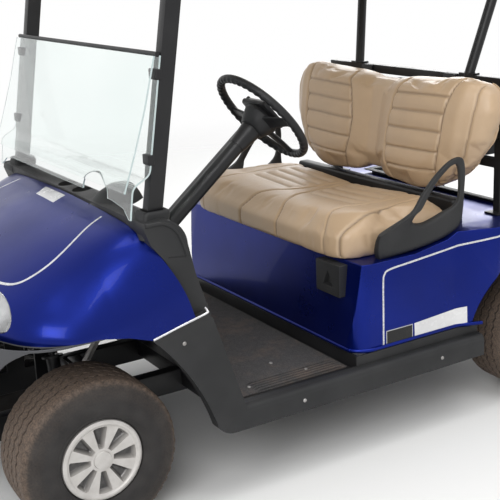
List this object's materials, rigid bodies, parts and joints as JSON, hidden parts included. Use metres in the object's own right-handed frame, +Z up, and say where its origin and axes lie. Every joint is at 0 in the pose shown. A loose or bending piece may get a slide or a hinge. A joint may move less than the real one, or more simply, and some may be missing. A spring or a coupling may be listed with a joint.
{
  "type": "golf cart",
  "caption": "Electric two-seat golf cart with a blue moulded body, tan bench seat, folding windshield, canopy and rear bag well.",
  "frame": {"origin": "on the ground under the middle of the vehicle", "axes": "+X forward, +Y to the driver's side, +Z up"},
  "size_m": [2.4, 1.19, 1.7899],
  "materials": {
    "blue_paint": "metallic gloss paint",
    "charcoal_plastic": "grained moulded plastic",
    "black_metal": "satin powder coat",
    "cushion": "tan vinyl with sewn channels",
    "tyre": "dusty tread",
    "silver_plastic": "silver wheel cover",
    "steel": "machined",
    "white_paint": "steel wheel",
    "acrylic": "clear acrylic",
    "roof": "moulded roof",
    "floor_mat": "ribbed mat",
    "lamp": "clear lens",
    "red_lamp": "red lens",
    "battery_case": "moulded case"
  },
  "bodies": {
    "root": {"chassis_rails": "black_metal", "cross_members": "black_metal", "front_suspension": "black_metal", "rear_axle": "steel", "rear_springs": "black_metal", "battery_pack": "battery_case", "floor_pan": "floor_mat", "sills": "charcoal_plastic", "cowl": "blue_paint", "front_fascia": "charcoal_plastic", "headlights": "lamp", "dash": "charcoal_plastic", "windshield_lower": "acrylic", "windshield_upper": "acrylic", "roof_struts": "black_metal", "canopy": "roof", "rear_body": "blue_paint", "bag_well": "charcoal_plastic", "rear_bumper": "charcoal_plastic", "tail_lights": "red_lamp", "rear_hoop": "black_metal", "basket": "charcoal_plastic", "seat_back": "cushion", "hip_restraints": "charcoal_plastic", "steering_column": "black_metal", "steering_rack": "black_metal", "pedals": "charcoal_plastic", "charge_receptacle": "charcoal_plastic"},
    "seat": {"seat_cushion": "cushion"},
    "steering_wheel": {"steering_wheel": "charcoal_plastic"},
    "knuckle_left": {"knuckle_left": "steel"},
    "knuckle_right": {"knuckle_right": "steel"},
    "tie_rods": {"tie_rods": "steel"},
    "wheel_fl": {"tyre_fl": "tyre", "rim_fl": "white_paint", "cover_fl": "silver_plastic"},
    "wheel_fr": {"tyre_fr": "tyre", "rim_fr": "white_paint", "cover_fr": "silver_plastic"},
    "wheel_rl": {"tyre_rl": "tyre", "rim_rl": "white_paint", "cover_rl": "silver_plastic"},
    "wheel_rr": {"tyre_rr": "tyre", "rim_rr": "white_paint", "cover_rr": "silver_plastic"}
  },
  "joints": [
    {"name": "steering_turn", "type": "hinge", "parent": "root", "child": "steering_wheel", "pos_m": [0.114, 0.27, 1.048], "axis": [0.7716, 0, -0.6361], "range_deg": [-270, 270]},
    {"name": "knuckle_left_steer", "type": "hinge", "parent": "root", "child": "knuckle_left", "pos_m": [0.835, 0.36, 0.2286], "axis": [0, 0, 1], "range_deg": [-30, 30]},
    {"name": "knuckle_right_steer", "type": "hinge", "parent": "root", "child": "knuckle_right", "pos_m": [0.835, -0.36, 0.2286], "axis": [0, 0, 1], "range_deg": [-30, 30]},
    {"name": "rack_slide", "type": "slide", "parent": "root", "child": "tie_rods", "axis": [0, 1, 0], "range_m": [-0.0576, 0.0576]},
    {"name": "seat_lift", "type": "hinge", "parent": "root", "child": "seat", "pos_m": [-0.034, 0, 0.6], "axis": [0, 1, 0], "range_deg": [0, 60]},
    {"name": "wheel_fl_spin", "type": "hinge", "parent": "knuckle_left", "child": "wheel_fl", "pos_m": [0.835, 0.448, 0.2286], "axis": [0, 1, 0], "continuous": true},
    {"name": "wheel_fr_spin", "type": "hinge", "parent": "knuckle_right", "child": "wheel_fr", "pos_m": [0.835, -0.448, 0.2286], "axis": [0, 1, 0], "continuous": true},
    {"name": "wheel_rl_spin", "type": "hinge", "parent": "root", "child": "wheel_rl", "pos_m": [-0.835, 0.4825, 0.2286], "axis": [0, 1, 0], "continuous": true},
    {"name": "wheel_rr_spin", "type": "hinge", "parent": "root", "child": "wheel_rr", "pos_m": [-0.835, -0.4825, 0.2286], "axis": [0, 1, 0], "continuous": true}
  ],
  "couplings": [
    {"joint": "knuckle_left_steer", "follows": "steering_turn", "ratio": -0.11111},
    {"joint": "knuckle_right_steer", "follows": "steering_turn", "ratio": -0.11111},
    {"joint": "rack_slide", "follows": "steering_turn", "m_per_rad": 0.012222}
  ]
}
